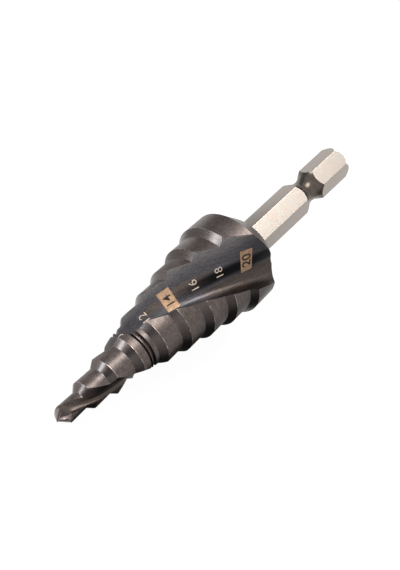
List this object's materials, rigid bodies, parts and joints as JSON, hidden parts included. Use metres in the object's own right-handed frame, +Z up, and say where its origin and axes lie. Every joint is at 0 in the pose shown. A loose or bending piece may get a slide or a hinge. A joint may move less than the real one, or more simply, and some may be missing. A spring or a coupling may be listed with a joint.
{
  "type": "step drill",
  "caption": "Conical step drill with stepped lands, spiral flutes, a split point and a hexagon quick-change shank, lying at rest.",
  "frame": {"origin": "on the floor, under the middle of the drill's box, with the drill lying on the edges of one flute", "axes": "+X along the drill from the tip to the shank, raised 4.7 degrees because the shank end stands up a little; +Z up; +Y across"},
  "size_m": [0.0856, 0.02, 0.0186],
  "materials": {
    "tool_steel": "ground steel, blackened on the stepped cone and bright on the hexagon shank"
  },
  "bodies": {
    "root": {"step_drill": "tool_steel"}
  },
  "joints": []
}
